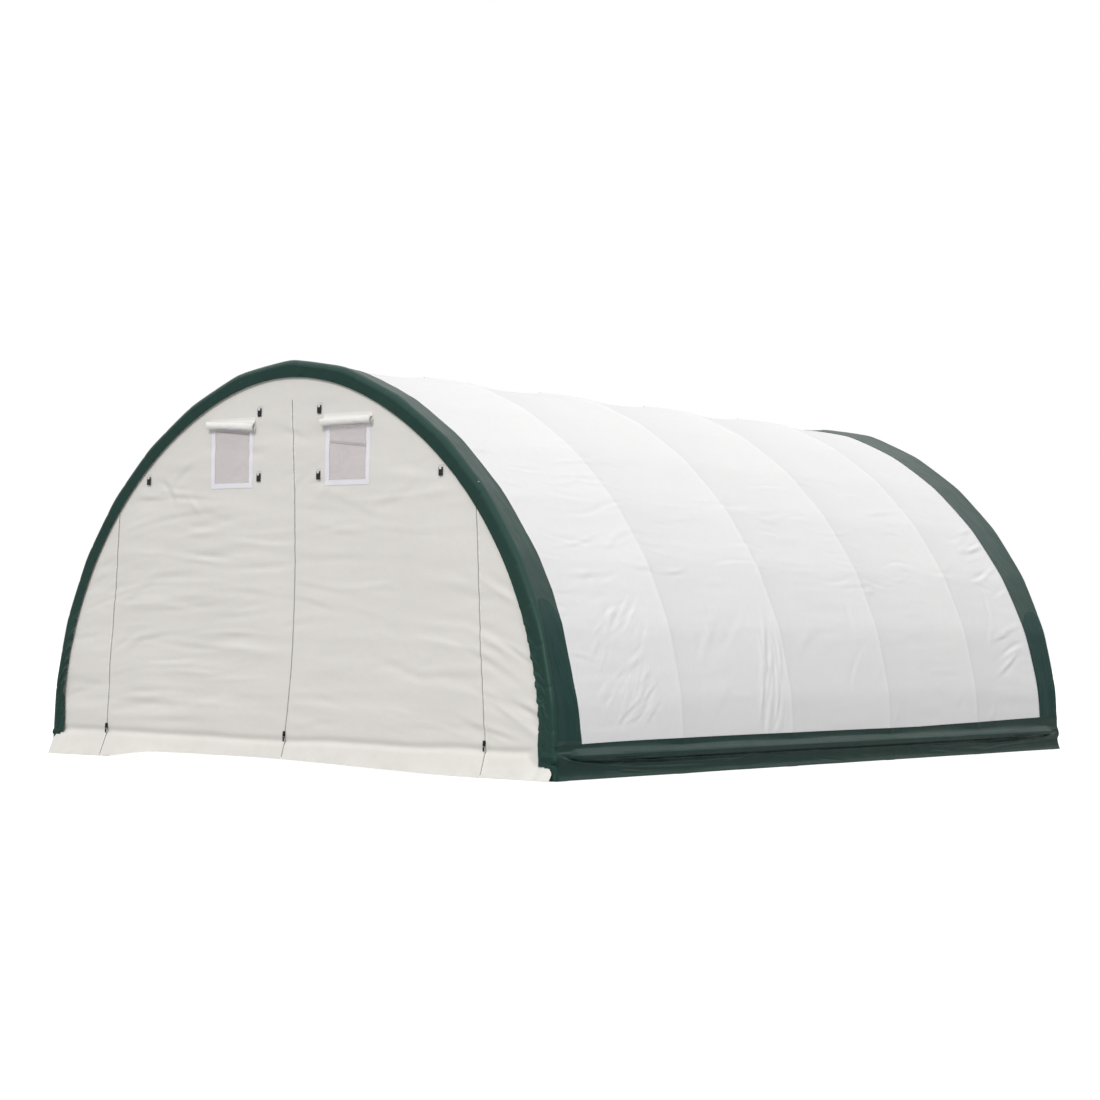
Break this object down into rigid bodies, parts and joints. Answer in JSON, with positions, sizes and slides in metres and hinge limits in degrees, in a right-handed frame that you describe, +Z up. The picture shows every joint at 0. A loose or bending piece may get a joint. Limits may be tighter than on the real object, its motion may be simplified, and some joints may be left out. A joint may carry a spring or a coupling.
{
  "type": "arched storage shelter",
  "caption": "Arched tarp shelter: white sheet cover with dark edge bands over a bolted steel hoop frame, zipped front door leaves, mesh vents and a ground skirt.",
  "frame": {"origin": "on the ground at the centre of the footprint", "axes": "+X to the right seen from the front, +Y from the front door wall to the rear wall, +Z up"},
  "size_m": [6.1944, 9.4212, 3.6605],
  "materials": {
    "galvanised_tube": "hot-dip galvanised",
    "zinc_fastener": "zinc plated",
    "zinc_hardware": "zinc plated",
    "white_cover": "coated woven sheet, soft sheen",
    "green_band": "coated woven sheet, satin",
    "ivory_wall": "coated woven sheet, soft sheen",
    "vent_mesh": "open mesh, pale border",
    "zip_tape": "woven tape with moulded teeth",
    "dark_zinc": "black enamelled",
    "pale_webbing": "woven webbing",
    "black_plastic": "moulded"
  },
  "bodies": {
    "shelter": {"base_plates": "galvanised_tube", "door_header": "galvanised_tube", "end_frame_bolts": "zinc_fastener", "end_frame_clamps": "zinc_hardware", "front_edge_band": "green_band", "front_gable_panel": "ivory_wall", "front_left_panel": "ivory_wall", "front_right_panel": "ivory_wall", "hem_pipes": "galvanised_tube", "hoop_1": "galvanised_tube", "hoop_2": "galvanised_tube", "hoop_3": "galvanised_tube", "hoop_4": "galvanised_tube", "hoop_5": "galvanised_tube", "hoop_6": "galvanised_tube", "hoop_bolts": "zinc_fastener", "left_base_band": "green_band", "left_base_rail": "galvanised_tube", "left_door_leaf": "ivory_wall", "left_door_post": "galvanised_tube", "left_vent_screen": "vent_mesh", "purlin_bolts": "zinc_fastener", "ratchet_brackets": "zinc_hardware", "ratchet_straps": "pale_webbing", "rear_edge_band": "green_band", "rear_header": "galvanised_tube", "rear_posts": "galvanised_tube", "rear_wall": "ivory_wall", "ridge_purlin": "galvanised_tube", "right_base_band": "green_band", "right_base_rail": "galvanised_tube", "right_door_leaf": "ivory_wall", "right_door_post": "galvanised_tube", "right_vent_screen": "vent_mesh", "roof_cover": "white_cover", "shoulder_purlins": "galvanised_tube", "side_purlins": "galvanised_tube", "splice_sleeves": "galvanised_tube", "tie_buckles": "black_plastic", "tie_straps": "pale_webbing", "zip_tapes": "zip_tape"},
    "left_door_hem": {"left_roll_pole": "galvanised_tube"},
    "right_door_hem": {"right_roll_pole": "galvanised_tube"},
    "left_vent_roll": {"left_vent_flap": "ivory_wall"},
    "right_vent_roll": {"right_vent_flap": "ivory_wall"},
    "centre_slider": {"centre_zip_slider": "dark_zinc"},
    "centre_pull": {"centre_zip_pull": "dark_zinc"},
    "right_slider": {"right_zip_slider": "dark_zinc"},
    "right_pull": {"right_zip_pull": "dark_zinc"},
    "left_slider": {"left_zip_slider": "dark_zinc"},
    "left_pull": {"left_zip_pull": "dark_zinc"},
    "front_left_spool": {"front_left_ratchet_spool": "zinc_hardware"},
    "front_left_handle": {"front_left_ratchet_handle": "zinc_hardware"},
    "front_right_spool": {"front_right_ratchet_spool": "zinc_hardware"},
    "front_right_handle": {"front_right_ratchet_handle": "zinc_hardware"},
    "rear_left_spool": {"rear_left_ratchet_spool": "zinc_hardware"},
    "rear_left_handle": {"rear_left_ratchet_handle": "zinc_hardware"},
    "rear_right_spool": {"rear_right_ratchet_spool": "zinc_hardware"},
    "rear_right_handle": {"rear_right_ratchet_handle": "zinc_hardware"}
  },
  "joints": [
    {"name": "left_door_roll", "type": "slide", "parent": "shelter", "child": "left_door_hem", "axis": [0, 0, 1], "range_m": [0, 2], "deforming": ["left_door_leaf"]},
    {"name": "right_door_roll", "type": "slide", "parent": "shelter", "child": "right_door_hem", "axis": [0, 0, 1], "range_m": [0, 2], "deforming": ["right_door_leaf"]},
    {"name": "left_vent_unroll", "type": "slide", "parent": "shelter", "child": "left_vent_roll", "axis": [0, 0, 1], "range_m": [-0.56, 0]},
    {"name": "right_vent_unroll", "type": "slide", "parent": "shelter", "child": "right_vent_roll", "axis": [0, 0, 1], "range_m": [-0.56, 0]},
    {"name": "centre_zip", "type": "slide", "parent": "shelter", "child": "centre_slider", "axis": [0, 0, 1], "range_m": [0, 2.95]},
    {"name": "centre_pull_swing", "type": "hinge", "parent": "centre_slider", "child": "centre_pull", "pos_m": [0, -4.6367, 0.29], "axis": [1, 0, 0], "range_deg": [-150, 0]},
    {"name": "right_zip", "type": "slide", "parent": "shelter", "child": "right_slider", "axis": [-0.0635, 0, 0.998], "range_m": [0, 2.154]},
    {"name": "right_pull_swing", "type": "hinge", "parent": "right_slider", "child": "right_pull", "pos_m": [2.29756, -4.6367, 0.29], "axis": [1, 0, 0], "range_deg": [-150, 0]},
    {"name": "left_zip", "type": "slide", "parent": "shelter", "child": "left_slider", "axis": [0.0635, 0, 0.998], "range_m": [0, 2.154]},
    {"name": "left_pull_swing", "type": "hinge", "parent": "left_slider", "child": "left_pull", "pos_m": [-2.29756, -4.6367, 0.29], "axis": [1, 0, 0], "range_deg": [-150, 0]},
    {"name": "front_left_spool_turn", "type": "hinge", "parent": "shelter", "child": "front_left_spool", "pos_m": [-2.9, -4.27, 0.2], "axis": [0, 1, 0], "range_deg": [-180, 180]},
    {"name": "front_left_handle_swing", "type": "hinge", "parent": "shelter", "child": "front_left_handle", "pos_m": [-2.9, -4.27, 0.2], "axis": [0, 1, 0], "range_deg": [0, 110]},
    {"name": "front_right_spool_turn", "type": "hinge", "parent": "shelter", "child": "front_right_spool", "pos_m": [2.9, -4.27, 0.2], "axis": [0, 1, 0], "range_deg": [-180, 180]},
    {"name": "front_right_handle_swing", "type": "hinge", "parent": "shelter", "child": "front_right_handle", "pos_m": [2.9, -4.27, 0.2], "axis": [0, -1, 0], "range_deg": [0, 110]},
    {"name": "rear_left_spool_turn", "type": "hinge", "parent": "shelter", "child": "rear_left_spool", "pos_m": [-2.9, 4.06, 0.2], "axis": [0, 1, 0], "range_deg": [-180, 180]},
    {"name": "rear_left_handle_swing", "type": "hinge", "parent": "shelter", "child": "rear_left_handle", "pos_m": [-2.9, 4.06, 0.2], "axis": [0, 1, 0], "range_deg": [0, 110]},
    {"name": "rear_right_spool_turn", "type": "hinge", "parent": "shelter", "child": "rear_right_spool", "pos_m": [2.9, 4.06, 0.2], "axis": [0, 1, 0], "range_deg": [-180, 180]},
    {"name": "rear_right_handle_swing", "type": "hinge", "parent": "shelter", "child": "rear_right_handle", "pos_m": [2.9, 4.06, 0.2], "axis": [0, -1, 0], "range_deg": [0, 110]}
  ]
}
